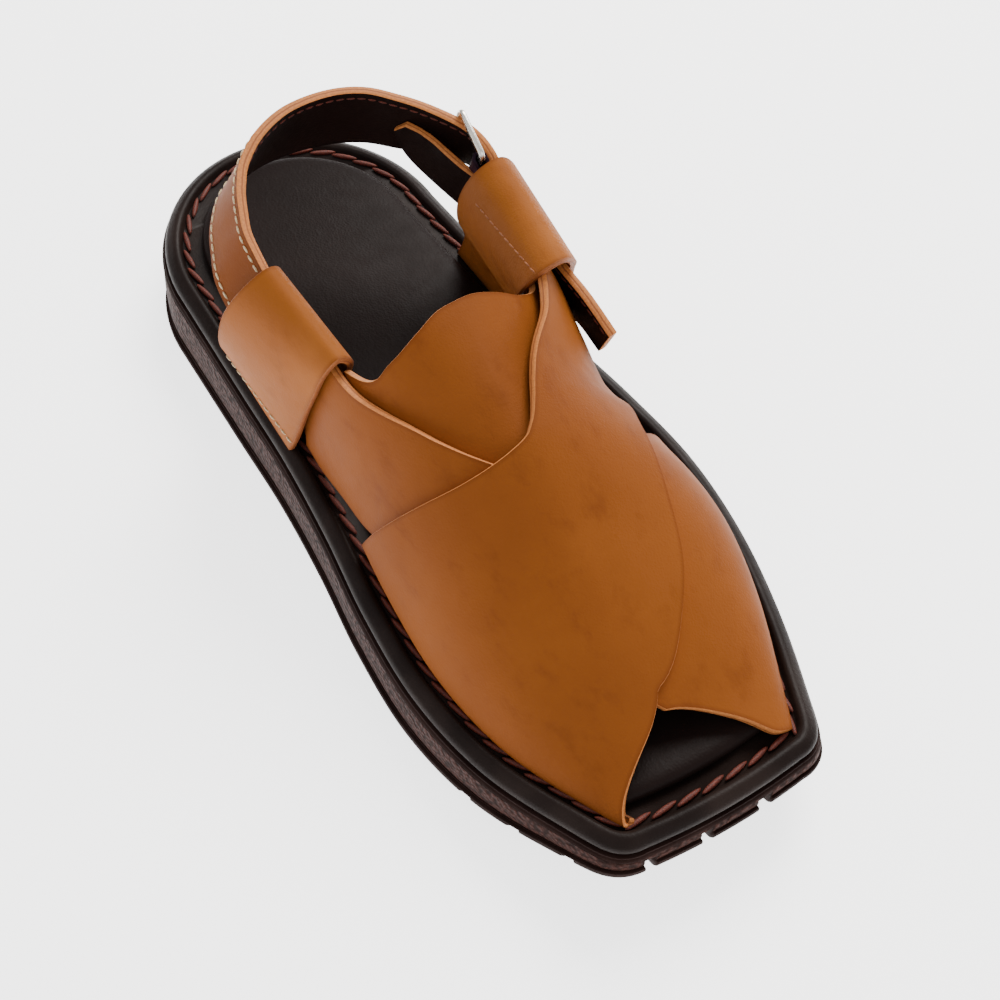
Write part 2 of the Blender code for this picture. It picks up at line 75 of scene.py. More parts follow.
add_lamp("key_light", (0.75, 0.55, 1.05), (0, 0, 0.03), 0.9, 30.0, (1.0, 0.97, 0.93))
add_lamp("fill_light", (-0.9, -0.2, 0.9), (0, 0, 0.03), 1.2, 2.0, (0.96, 0.98, 1.0))
add_lamp("front_light", (0.15, -1.1, 0.75), (0, 0, 0.03), 1.0, 3.5, (1.0, 1.0, 1.0))
sky = bpy.data.worlds.new("studio")
sky.use_nodes = True
sky.node_tree.nodes["Background"].inputs["Color"].default_value = (0.96, 0.97, 1.0, 1.0)
sky.node_tree.nodes["Background"].inputs["Strength"].default_value = 0.7
bpy.context.scene.world = sky

floor_mesh = bpy.data.meshes.new("floor")
FLOOR_REACH = 6.0
floor_corners = [(x * FLOOR_REACH, y * FLOOR_REACH, 0.0) for x, y in ((-1, -1), (1, -1), (1, 1), (-1, 1))]
floor_mesh.from_pydata(floor_corners, [], [(0, 1, 2, 3)])
floor = bpy.data.objects.new("floor", floor_mesh)
bpy.context.scene.collection.objects.link(floor)


class Term:
    """A number in a material's node tree, so that its maths reads as an expression."""

    def __init__(self, finish, socket):
        self.finish = finish
        self.socket = socket

    def maths(self, operation, first, second):
        node = self.finish.node("ShaderNodeMath", {"operation": operation}, {0: first, 1: second})
        return Term(self.finish, node.outputs[0])

    def __add__(self, other):
        return self.maths("ADD", self, other)

    def __sub__(self, other):
        return self.maths("SUBTRACT", self, other)

    def __rsub__(self, other):
        return self.maths("SUBTRACT", other, self)

    def __mul__(self, other):
        return self.maths("MULTIPLY", self, other)

    __radd__ = __add__
    __rmul__ = __mul__

    def ramp(self, low, high):
        """0 at low and 1 at high, smooth between."""
        node = self.finish.node("ShaderNodeMapRange", {"interpolation_type": "SMOOTHSTEP"},
                                {"Value": self, "From Min": low, "From Max": high})
        return Term(self.finish, node.outputs["Result"])


class Finish:
    """A material being mixed: its node tree, with short ways to add nodes to it."""

    def __init__(self, name, roughness=0.5, metallic=0.0, specular=0.5):
        self.material = bpy.data.materials.new(name)
        self.material.use_nodes = True
        self.tree = self.material.node_tree
        self.shader = self.tree.nodes["Principled BSDF"]
        self.shader.inputs["Roughness"].default_value = roughness
        self.shader.inputs["Metallic"].default_value = metallic
        self.shader.inputs["Specular IOR Level"].default_value = specular
        self.place = self.node("ShaderNodeTexCoord", {}, {}).outputs["Object"]

    def node(self, kind, settings, values):
        node = self.tree.nodes.new(kind)
        for key, value in settings.items():
            setattr(node, key, value)
        for key, value in values.items():
            self.feed(node.inputs[key], value)
        return node

    def feed(self, slot, value):
        if isinstance(value, Term):
            value = value.socket
        if isinstance(value, bpy.types.NodeSocket):
            self.tree.links.new(slot, value)
        else:
            slot.default_value = value

    def noise(self, scale, detail=3.0, stretch=None, roughness=0.5):
        place = self.place
        if stretch:
            place = self.node("ShaderNodeMapping", {}, {"Vector": place, "Scale": stretch}).outputs[0]
        node = self.node("ShaderNodeTexNoise", {}, {"Vector": place, "Scale": scale, "Detail": detail,
                                                    "Roughness": roughness})
        return Term(self, node.outputs[0])

    def cells(self, scale, feature="F1"):
        node = self.node("ShaderNodeTexVoronoi", {"feature": feature}, {"Vector": self.place, "Scale": scale})
        return Term(self, node.outputs[0])

    def attribute(self, name):
        return Term(self, self.node("ShaderNodeAttribute", {"attribute_name": name}, {}).outputs["Fac"])

    def blend(self, share, first, second):
        def as_colour(value):
            return (*value, 1.0) if isinstance(value, tuple) else value
        node = self.node("ShaderNodeMix", {"data_type": "RGBA"},
                         {0: share, 6: as_colour(first), 7: as_colour(second)})
        return node.outputs[2]

    def set(self, **values):
        for key, value in values.items():
            if isinstance(value, tuple):
                value = (*value, 1.0)
            self.feed(self.shader.inputs[key.replace("_", " ")], value)
        return self

    def relief(self, height, depth, strength=1.0):
        """Fine relief, with its depth in metres."""
        bump = self.node("ShaderNodeBump", {}, {"Height": height, "Distance": depth, "Strength": strength})
        self.feed(self.shader.inputs["Normal"], bump.outputs[0])
        return self


table_top = Finish("table_top", roughness=0.85, specular=0.2)
table_top.shader.inputs["Emission Color"].default_value = (1.0, 1.0, 1.0, 1.0)
table_top.shader.inputs["Emission Strength"].default_value = 2.5
table_top.set(Base_Color=table_top.blend(table_top.noise(3.0).ramp(0.3, 0.7), (0.90, 0.90, 0.90),
                                         (0.915, 0.915, 0.91)))
floor_mesh.materials.append(table_top.material)

# Outsole.
# One moulding of dark foamed rubber: a flared wall with a lip below, a pebbled strip between two
# incised lines round its side, cross grooves under the foot and lugs at the turned-up toe.
MM = 0.001
SOLE_CENTRE = Vector((4.5785, 0.0, 0.0))
HALF_LENGTH = 144.0
HEEL_ARC_Y = 94.5
TOE_CORNER_RADIUS = 7.0
TOE_FRONT_BULGE = 1.7
SPRING_START_Y = -58.0
SoleRow = namedtuple("SoleRow", "y medial lateral")
SOLE_ROWS = [
    SoleRow(-143.0, -31.8, 32.2), SoleRow(-130.0, -37.5, 39.0), SoleRow(-100.0, -48.5, 51.8),
    SoleRow(-70.0, -53.1, 60.0), SoleRow(-40.0, -52.4, 62.5), SoleRow(-10.0, -49.1, 59.4),
    SoleRow(20.0, -47.1, 54.4), SoleRow(50.0, -46.9, 51.6), SoleRow(94.5, -46.5, 47.3),
]


def hermite(places, values, at):
    """A smooth curve through values at places."""
    span = max([k for k in range(len(places) - 1) if places[k] <= at], default=0)
    width = places[span + 1] - places[span]
    t = (at - places[span]) / width

    def slope(k):
        low, high = max(k - 1, 0), min(k + 1, len(places) - 1)
        return (values[high] - values[low]) / (places[high] - places[low])

    start = (1 + 2 * t) * (1 - t) ** 2 * values[span] + t * (1 - t) ** 2 * width * slope(span)
    return start + t * t * (3 - 2 * t) * values[span + 1] + t * t * (t - 1) * width * slope(span + 1)


def smooth(rows, column, at):
    """Value of a named column at a place along the rows' first column."""
    return hermite([row[0] for row in rows], [getattr(row, column) for row in rows], at)


def along(rows, column, share):
    """Value of a named column at a share of the rows, which count as evenly spaced."""
    return hermite(list(range(len(rows))), [getattr(row, column) for row in rows], share * (len(rows) - 1))


def spring(y):
    return max(0.0, (SPRING_START_Y - y) / (SPRING_START_Y + HALF_LENGTH))


def ground_height(y):
    """Height of the tread's face over the floor: flat, then rising at the toe."""
    return 17.2 * spring(y) ** 2


def rim_height(y):
    """Height of the welt's rim over the floor."""
    return 26.2 + 6.6 * y / HALF_LENGTH + 12.5 * spring(y) ** 2


def side_edge(side, y, grow):
    """Where the sole's outline runs on one side at y, grown outwards."""
    slope = smooth(SOLE_ROWS, side, y + 0.5) - smooth(SOLE_ROWS, side, y - 0.5)
    outwards = 1 if side == "lateral" else -1
    return smooth(SOLE_ROWS, side, y) + outwards * grow * math.hypot(1.0, slope)


def half_outline(side, grow):
    """Points from the middle of the toe round one side to the middle of the heel."""
    outwards = 1 if side == "lateral" else -1
    front_y = -HALF_LENGTH + TOE_FRONT_BULGE - grow
    corner = Vector((side_edge(side, front_y, grow), front_y))
    radius = max(TOE_CORNER_RADIUS + 0.5 * grow, 3.0)
    on_side = Vector((side_edge(side, front_y + radius, grow), front_y + radius))
    on_front = Vector((corner.x - outwards * radius, front_y))
    points = []
    for step in range(16):
        share = step / 16
        points.append(Vector((on_front.x * share, front_y - TOE_FRONT_BULGE * (1 - share ** 2))))
    for step in range(10):
        t = step / 10
        points.append(on_front * (1 - t) ** 2 + corner * 2 * t * (1 - t) + on_side * t ** 2)
    for step in range(96):
        y = on_side.y + (HEEL_ARC_Y - on_side.y) * step / 96
        points.append(Vector((side_edge(side, y, grow), y)))
    reach = abs(side_edge(side, HEEL_ARC_Y, grow))
    depth = HALF_LENGTH - HEEL_ARC_Y + grow
    for step in range(37):
        angle = step / 36 * math.pi / 2
        points.append(Vector((outwards * reach * math.cos(angle), HEEL_ARC_Y + depth * math.sin(angle))))
    return points


def edge_ring(grow, height_at):
    """One closed ring round the sole, medial side first, with its height given for each place along it."""
    ring = half_outline("medial", grow) + half_outline("lateral", grow)[-2:0:-1]
    return [Vector((p.x, p.y, height_at(p.y))) for p in ring]


def placed(point):
    """A point in millimetres from the sole's own centre, as a place in the scene."""
    return (Vector(point) - SOLE_CENTRE) * MM


def shaded_mesh(name, bm, sharp_degrees):
    bmesh.ops.recalc_face_normals(bm, faces=bm.faces)
    mesh = bpy.data.meshes.new(name)
    bm.to_mesh(mesh)
    bm.free()
    mesh.shade_smooth()
    mesh.set_sharp_from_angle(angle=math.radians(sharp_degrees))
    return mesh


def layered_mesh(name, rings, slots=None, sharp_degrees=38.0):
    """Rings laid one on the next, closed at both ends by strips straight across."""
    bm = bmesh.new()
    loops = [[bm.verts.new(placed(p)) for p in ring] for ring in rings]
    count = len(loops[0])
    for level, (lower, upper) in enumerate(zip(loops, loops[1:])):
        for k in range(count):
            face = bm.faces.new((lower[k], lower[(k + 1) % count], upper[(k + 1) % count], upper[k]))
            face.material_index = slots[level] if slots else 0
    middle = count // 2
    for ring in (loops[0], loops[-1]):
        bm.faces.new((ring[0], ring[1], ring[-1]))
        for k in range(1, middle - 1):
            bm.faces.new((ring[k], ring[k + 1], ring[-k - 1], ring[-k]))
        bm.faces.new((ring[middle - 1], ring[middle], ring[middle + 1]))
    return shaded_mesh(name, bm, sharp_degrees)


def add_piece(name, mesh, finishes, slot_name, *nodes):
    """Link a finished mesh, let it ride on the shoe, and let it stand for its CAD nodes."""
    piece = bpy.data.objects.new(name, mesh)
    bpy.context.scene.collection.objects.link(piece)
    for number, finish in enumerate(finishes):
        if number < len(mesh.materials):
            mesh.materials[number] = finish.material
        else:
            mesh.materials.append(finish.material)
    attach(piece, "root")
    if nodes:
        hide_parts(*nodes)
    return piece


def plain_copy(piece):
    """The piece's mesh with its modifiers carried out."""
    bpy.context.view_layer.update()
    return bpy.data.meshes.new_from_object(piece.evaluated_get(bpy.context.evaluated_depsgraph_get()))


WALL_LOW, WALL_HIGH = 4.3, -6.6
STRIP_LINES = (0.08, 0.93)


def wall_fade(y):
    """1 where the wall is tall enough for its incised strip, 0 at the toe."""
    height = rim_height(y) + WALL_HIGH - ground_height(y) - WALL_LOW
    return min(max((height - 4.0) / 3.0, 0.0), 1.0)


def wall_ring(share, sink):
    """A ring on the sole's wall at a share of its height, sunk where the wall is tall enough."""
    grow = 2.7 + (2.2 - 2.7) * share + 0.35 * math.sin(math.pi * share)
    outer = edge_ring(grow, lambda y: (ground_height(y) + WALL_LOW) * (1 - share)
                      + (rim_height(y) + WALL_HIGH) * share)
    inner = edge_ring(grow - sink, lambda y: 0.0)
    return [p + (Vector((q.x, q.y, p.z)) - p) * wall_fade(p.y) for p, q in zip(outer, inner)]


rings = [edge_ring(grow, lambda y, up=up: ground_height(y) + up)
         for grow, up in ((1.6, 0.0), (2.4, 0.3), (2.9, 0.9), (3.4, 1.5), (3.7, 2.2), (3.75, 3.2), (3.6, 3.9),
                          (3.2, 4.2))]
slots = [0] * len(rings)
low_line, high_line = STRIP_LINES
wall = [(0.0, 0.0), (low_line - 0.035, 0.0), (low_line - 0.02, 0.55), (low_line + 0.02, 0.55),
        (low_line + 0.035, 0.22)]
wall += [(low_line + (high_line - low_line) * s, 0.22) for s in (0.2, 0.35, 0.5, 0.65, 0.8)]
wall += [(high_line - 0.035, 0.22), (high_line - 0.02, 0.55), (high_line + 0.02, 0.55),
         (high_line + 0.035, 0.0), (1.0, 0.0)]
for share, sink in wall:
    rings.append(wall_ring(share, sink))
    slots.append(1 if sink == 0.22 and share < high_line - 0.04 else 0)
for grow, down in ((1.9, -6.2), (1.6, -5.9), (1.7, -5.6), (1.6, -5.3), (1.2, -5.15), (0.5, -5.1)):
    rings.append(edge_ring(grow, lambda y, down=down: rim_height(y) + down))
    slots.append(0)

rubber = Finish("outsole_rubber", roughness=0.6, specular=0.035)
mottle = rubber.noise(60.0, 4.0)
rubber.set(Base_Color=rubber.blend(mottle.ramp(0.3, 0.75), (0.012, 0.0050, 0.0038), (0.022, 0.0105, 0.0085)),
           Roughness=0.50 + 0.22 * rubber.noise(300.0))
rubber.relief(rubber.noise(900.0, 5.0) + 0.6 * rubber.cells(1400.0), 0.00012, 0.5)
pebbled = Finish("outsole_pebbled_strip", roughness=0.65, specular=0.035)
pebbles = pebbled.cells(760.0, "SMOOTH_F1")
# Pebble tops are lighter and the gaps between them darker: painted shade in the gaps.
pebbled.set(Base_Color=pebbled.blend(pebbles.ramp(0.15, 0.7), (0.046, 0.0180, 0.0140),
                                     (0.014, 0.0060, 0.0045)),
            Roughness=0.45 + 0.25 * pebbles)
pebbled.relief(1.0 - pebbles.ramp(0.05, 0.75) + 0.25 * pebbled.noise(2500.0), 0.00035, 0.9)

sole_blank = bpy.data.objects.new("sole_blank", layered_mesh("sole_blank", rings, slots))
bpy.context.scene.collection.objects.link(sole_blank)
for finish in (rubber, pebbled):
    sole_blank.data.materials.append(finish.material)
cutters = []


def add_cutter(centre, size, tilt):
    """A box taken out of the sole, turned by tilt to follow its underside."""
    bm = bmesh.new()
    bmesh.ops.create_cube(bm, size=1.0)
    bmesh.ops.scale(bm, vec=Vector(size) * MM, verts=bm.verts)
    turn = Matrix.Translation(placed(centre)) @ Matrix.Rotation(tilt, 4, "X")
    bmesh.ops.transform(bm, matrix=turn, verts=bm.verts)
    cutter = bpy.data.objects.new("cutter", shaded_mesh("cutter", bm, 30.0))
    bpy.context.scene.collection.objects.link(cutter)
    cutter.data.materials.append(rubber.material)
    cutter.hide_render = True
    cutters.append(cutter)
    cut = sole_blank.modifiers.new("cut", "BOOLEAN")
    cut.operation = "DIFFERENCE"
    cut.solver = "EXACT"
    cut.object = cutter


GROOVE_WIDTH, GROOVE_HEIGHT = 5.0, 6.8
TOE_NOTCH_LENGTH, TOE_NOTCH_HEIGHT = 22.0, 12.0
for y, margin in [(y, -8.0) for y in (-131, -114, -97)] + [
        (y, 7.0) for y in (-80, -63, -46, -29, -12, 55, 72, 89, 106, 123)]:
    left, right = side_edge("medial", y, -margin), side_edge("lateral", y, -margin)
    lean = math.atan2(ground_height(y + 1) - ground_height(y - 1), 2.0)
    add_cutter(((left + right) / 2, y, ground_height(y)), (right - left, GROOVE_WIDTH, GROOVE_HEIGHT), lean)
for x, width in ((-25.0, 3.6), (-7.5, 3.8), (12.0, 5.0)):
    add_cutter((x, -HALF_LENGTH + 2.0, ground_height(-HALF_LENGTH) - 0.2),
               (width, TOE_NOTCH_LENGTH, TOE_NOTCH_HEIGHT), math.radians(-20))
sole_mesh = plain_copy(sole_blank)
for spare in cutters + [sole_blank]:
    bpy.data.objects.remove(spare)
add_piece("outsole_moulding", sole_mesh, (rubber, pebbled), "outsole_rubber", "outsole")

# Midsole.
# The welt: a board covered in dark grey-brown leather, its rim rolled over to a soft round edge, with
# a channel inside the rim for the seam that holds the straps.
MIDSOLE_PROFILE = [(-0.2, -4.8), (0.7, -4.3), (0.9, -3.2), (0.3, -1.9), (-0.9, -0.9), (-2.2, -0.15),
                   (-3.3, 0.0), (-4.2, -0.45), (-4.7, -1.3), (-5.2, -2.2)]


def rounded_profile(profile, steps):
    """More rows for an edge profile, on a smooth curve through the given ones."""
    places = list(range(len(profile)))
    rows = []
    for k in range((len(profile) - 1) * steps + 1):
        rows.append(tuple(hermite(places, [row[c] for row in profile], k / steps) for c in (0, 1)))
    return rows


welt_leather = Finish("welt_leather", roughness=0.45, specular=0.09)
welt_wear = welt_leather.noise(45.0, 5.0)
welt_leather.set(
    Base_Color=welt_leather.blend(welt_wear.ramp(0.35, 0.7), (0.009, 0.005, 0.004), (0.018, 0.011, 0.009)),
    Roughness=0.34 + 0.25 * welt_leather.noise(220.0, 4.0))
welt_leather.relief(welt_leather.noise(650.0, 6.0) + 0.5 * welt_leather.cells(1500.0), 0.00014, 0.5)
rings = [edge_ring(grow, lambda y, down=down: rim_height(y) + down)
         for grow, down in rounded_profile(MIDSOLE_PROFILE, 4)]
add_piece("welt", layered_mesh("welt", rings, sharp_degrees=60.0), (welt_leather,), "welt", "midsole")

# Welt seam.
# Thick waxed rust-red thread in the welt's channel, sewn by hand all round the shoe: long flattened
# stitches that lie a little aslant, each starting where the last one dips.
StitchKind = namedtuple("StitchKind", "pitch length thickness height slant seed")


def stitch_tree():
    """Geometry nodes: points along a path, and a plump stitch on each, turned to run along it."""
    tree = bpy.data.node_groups.new("stitches", "GeometryNodeTree")
    face = tree.interface
    face.new_socket("Geometry", in_out="INPUT", socket_type="NodeSocketGeometry")
    for name in ("Pitch", "Length", "Thickness", "Height", "Slant"):
        face.new_socket(name, in_out="INPUT", socket_type="NodeSocketFloat")
    face.new_socket("Seed", in_out="INPUT", socket_type="NodeSocketInt")
    face.new_socket("Thread", in_out="INPUT", socket_type="NodeSocketMaterial")
    face.new_socket("Geometry", in_out="OUTPUT", socket_type="NodeSocketGeometry")
    new, link = tree.nodes.new, tree.links.new
    source = new("NodeGroupInput")
    points = new("GeometryNodeCurveToPoints")
    points.mode = "LENGTH"
    link(points.inputs["Curve"], source.outputs["Geometry"])
    link(points.inputs["Length"], source.outputs["Pitch"])
    bead = new("GeometryNodeMeshUVSphere")
    bead.inputs["Segments"].default_value = 12
    bead.inputs["Rings"].default_value = 7
    bead.inputs["Radius"].default_value = 0.5
    size = new("ShaderNodeCombineXYZ")
    for slot, name in zip(size.inputs, ("Length", "Thickness", "Height")):
        link(slot, source.outputs[name])
    shape = new("GeometryNodeTransform")
    link(shape.inputs["Geometry"], bead.outputs["Mesh"])
    link(shape.inputs["Scale"], size.outputs[0])
    turn = new("FunctionNodeAlignRotationToVector")
    turn.axis = "X"
    link(turn.inputs["Vector"], points.outputs["Tangent"])
    put = new("GeometryNodeInstanceOnPoints")
    link(put.inputs["Points"], points.outputs["Points"])
    link(put.inputs["Instance"], shape.outputs["Geometry"])
    link(put.inputs["Rotation"], turn.outputs["Rotation"])
    chance = new("FunctionNodeRandomValue")
    chance.inputs[2].default_value = 0.6
    chance.inputs[3].default_value = 1.4
    link(chance.inputs["Seed"], source.outputs["Seed"])
    slant = new("ShaderNodeMath")
    slant.operation = "MULTIPLY"
    link(slant.inputs[0], chance.outputs[1])
    link(slant.inputs[1], source.outputs["Slant"])
    spin = new("ShaderNodeCombineXYZ")
    link(spin.inputs["Z"], slant.outputs[0])
    tilt = new("GeometryNodeRotateInstances")
    link(tilt.inputs["Instances"], put.outputs["Instances"])
    link(tilt.inputs["Rotation"], spin.outputs[0])
    real = new("GeometryNodeRealizeInstances")
    link(real.inputs["Geometry"], tilt.outputs["Instances"])
    paint = new("GeometryNodeSetMaterial")
    link(paint.inputs["Geometry"], real.outputs["Geometry"])
    link(paint.inputs["Material"], source.outputs["Thread"])
    end = new("NodeGroupOutput")
    link(end.inputs[0], paint.outputs["Geometry"])
    return tree


STITCHES = stitch_tree()


def sew(name, paths, kind, thread, slot_name):
    """A seam of stitches along one or more paths, in metres."""
    curve = bpy.data.curves.new(name, "CURVE")
    curve.dimensions = "3D"
    for path, closed in paths:
        spline = curve.splines.new("POLY")
        spline.points.add(len(path) - 1)
        for slot, point in zip(spline.points, path):
            slot.co = (*point, 1.0)
        spline.use_cyclic_u = closed
    rope = bpy.data.objects.new(name + "_path", curve)
    bpy.context.scene.collection.objects.link(rope)
    maker = rope.modifiers.new("sew", "NODES")
    maker.node_group = STITCHES
    values = dict(Pitch=kind.pitch * MM, Length=kind.length * MM, Thickness=kind.thickness * MM,
                  Height=kind.height * MM, Slant=math.radians(kind.slant), Seed=kind.seed,
                  Thread=thread.material)
    for item in STITCHES.interface.items_tree:
        if item.in_out == "INPUT" and item.name in values:
            maker[item.identifier] = values[item.name]
    mesh = plain_copy(rope)
    bpy.data.objects.remove(rope)
    mesh.shade_smooth()
    return add_piece(name, mesh, (thread,), slot_name)


def thread_finish(name, light, dark):
    """Waxed thread: two tones along its twist, darker where its relief dips: painted shade in the twist's
    grooves.
    """
    thread = Finish(name, roughness=0.6, specular=0.4)
    twist = thread.noise(2600.0, 3.0)
    thread.set(Base_Color=thread.blend(twist.ramp(0.35, 0.7), dark, light))
    thread.relief(twist, 0.0002, 0.8)
    return thread


rust_thread = thread_finish("rust_thread", (0.15, 0.022, 0.008), (0.05, 0.007, 0.003))
SEAM_INSET = 6.6
SEAM_DEPTH = 1.5
seam_ring = edge_ring(-SEAM_INSET, lambda y: rim_height(y) - SEAM_DEPTH)
sew("welt_seam", [([placed(p) for p in seam_ring], True)], StitchKind(7.9, 9.3, 1.75, 1.7, 11.0, 3),
    rust_thread, "welt")

# Footbed.
# A foam insole under dark lining leather, glued inside the channel of the welt: flat under the foot
# and rolled down at its edge.
FOOTBED_PROFILE = [(-12.6, -1.9), (-11.9, -1.0), (-11.9, 0.6), (-13.0, 2.0), (-15.5, 3.0), (-20.0, 3.5)]
lining = Finish("footbed_lining", roughness=0.5, specular=0.055)
patch = lining.noise(22.0, 4.0)
lining.set(Base_Color=lining.blend(patch.ramp(0.3, 0.75), (0.007, 0.0036, 0.003), (0.012, 0.007, 0.006)),
           Roughness=0.36 + 0.2 * lining.noise(180.0, 4.0))
lining.relief(lining.noise(800.0, 6.0, stretch=(1.0, 0.35, 1.0)) + 0.7 * lining.cells(1300.0), 0.00012, 0.55)
rings = [edge_ring(grow, lambda y, up=up: rim_height(y) + up)
         for grow, up in rounded_profile(FOOTBED_PROFILE, 5)]
add_piece("insole", layered_mesh("insole", rings, sharp_degrees=60.0), (lining,), "footbed_lining", "footbed")

# Crossed straps.
# Two wide straps of tan cowhide, pulled over the last and sewn down in the welt's channel. Where they
# cross, one is pressed to the other; each shows its pale cut edge of two glued layers.
LastRow = namedtuple("LastRow", "y top ridge medial_fullness lateral_fullness medial_inset lateral_inset")
LAST_ROWS = [
    LastRow(-142.0, 33.0, -2.0, 1.8, 2.2, 8.2, 6.6), LastRow(-116.0, 41.5, -3.0, 1.8, 2.8, 8.2, 6.6),
    LastRow(-80.0, 61.0, -4.0, 1.8, 2.4, 8.2, 6.6), LastRow(-47.0, 80.0, -4.0, 1.8, 1.65, 8.2, 8.0),
    LastRow(-36.0, 84.2, -3.7, 1.93, 1.5, 8.0, 8.2), LastRow(-29.0, 86.9, -3.4, 2.03, 1.5, 7.8, 12.4),
    LastRow(-20.0, 90.0, -3.0, 2.15, 1.62, 7.6, 15.0),
    LastRow(-6.0, 94.8, -2.2, 2.55, 1.98, 7.1, 14.0), LastRow(10.0, 99.0, -1.0, 3.1, 2.5, 6.4, 12.5),
    LastRow(40.0, 103.0, 0.0, 3.4, 2.6, 6.2, 12.0),
]
STRAP_THICKNESS = 2.9
TOP_STRAP_RISE = 2.2
STRAP_FOOT_DEPTH = 1.9
StrapRow = namedtuple("StrapRow", "rear_around rear_y front_around front_y")
TOP_STRAP_ROWS = [
    StrapRow(0.495, 15.0, 0.86, 15.0), StrapRow(0.45, 3.0, 0.785, 1.0),
    StrapRow(0.385, -8.0, 0.71, -14.0), StrapRow(0.28, -18.5, 0.60, -29.0),
    StrapRow(0.13, -35.0, 0.46, -50.0), StrapRow(0.045, -42.3, 0.335, -69.5),
    StrapRow(-0.05, -45.5, 0.25, -86.0), StrapRow(-0.205, -46.3, 0.14, -99.0),
    StrapRow(-0.36, -44.3, 0.02, -110.0), StrapRow(-0.53, -39.2, -0.14, -118.0),
    StrapRow(-0.70, -33.0, -0.40, -125.0), StrapRow(-0.86, -26.5, -0.70, -131.3),
    StrapRow(-1.0, -20.5, -1.0, -136.4),
]
UNDER_STRAP_ROWS = [
    StrapRow(1.0, -35.0, 1.0, -134.6), StrapRow(0.84, -38.0, 0.76, -135.2),
    StrapRow(0.68, -41.5, 0.52, -134.0), StrapRow(0.48, -48.0, 0.28, -127.7),
    StrapRow(0.30, -55.0, 0.08, -120.5), StrapRow(0.12, -58.0, -0.12, -110.0),
    StrapRow(-0.06, -55.0, -0.33, -94.0), StrapRow(-0.21, -46.0, -0.52, -75.0),
    StrapRow(-0.335, -33.6, -0.68, -54.0), StrapRow(-0.43, -22.5, -0.81, -33.5),
    StrapRow(-0.525, -11.8, -0.915, -18.0), StrapRow(-0.59, -3.5, -0.965, -5.0),
    StrapRow(-0.625, 4.0, -0.99, 6.0), StrapRow(-0.64, 14.0, -0.995, 19.0),
]


def last_point(around, y):
    """Point of the last's section at y, from the medial foot (-1) over the ridge (0) to the lateral (1)."""
    side = "lateral" if around > 0 else "medial"
    fullness = smooth(LAST_ROWS, side + "_fullness", y)
    ridge = smooth(LAST_ROWS, "ridge", y)
    base = rim_height(y) - STRAP_FOOT_DEPTH
    foot = side_edge(side, y, -smooth(LAST_ROWS, side + "_inset", y))
    angle = min(abs(around), 1.0) * math.pi / 2
    x = ridge + (foot - ridge) * math.sin(angle) ** (2 / fullness)
    top = smooth(LAST_ROWS, "top", y)
    return Vector((x, y, base + (top - base) * max(math.cos(angle), 0.0) ** (2 / fullness)))


def on_last(around, y, lift):
    """A point lifted off the last, square to it."""
    step = 0.004
    middle = min(max(around, -1 + 2 * step), 1 - 2 * step)
    across = last_point(middle + step, y) - last_point(middle - step, y)
    down_foot = last_point(middle, y + 1.0) - last_point(middle, y - 1.0)
    return last_point(around, y) + across.cross(down_foot).normalized() * lift


def strap_place(rows, lift):
    """Map a share along a strap and a share across it to a point on the last."""
    def place(u, v):
        around = (1 - v) * along(rows, "rear_around", u) + v * along(rows, "front_around", u)
        y = (1 - v) * along(rows, "rear_y", u) + v * along(rows, "front_y", u)
        around = min(max(around, -1.0), 1.0)
        return on_last(around, y, lift(around))
    return place


EDGE_STEPS = (0.1, 0.28, 0.5, 0.72, 0.9)


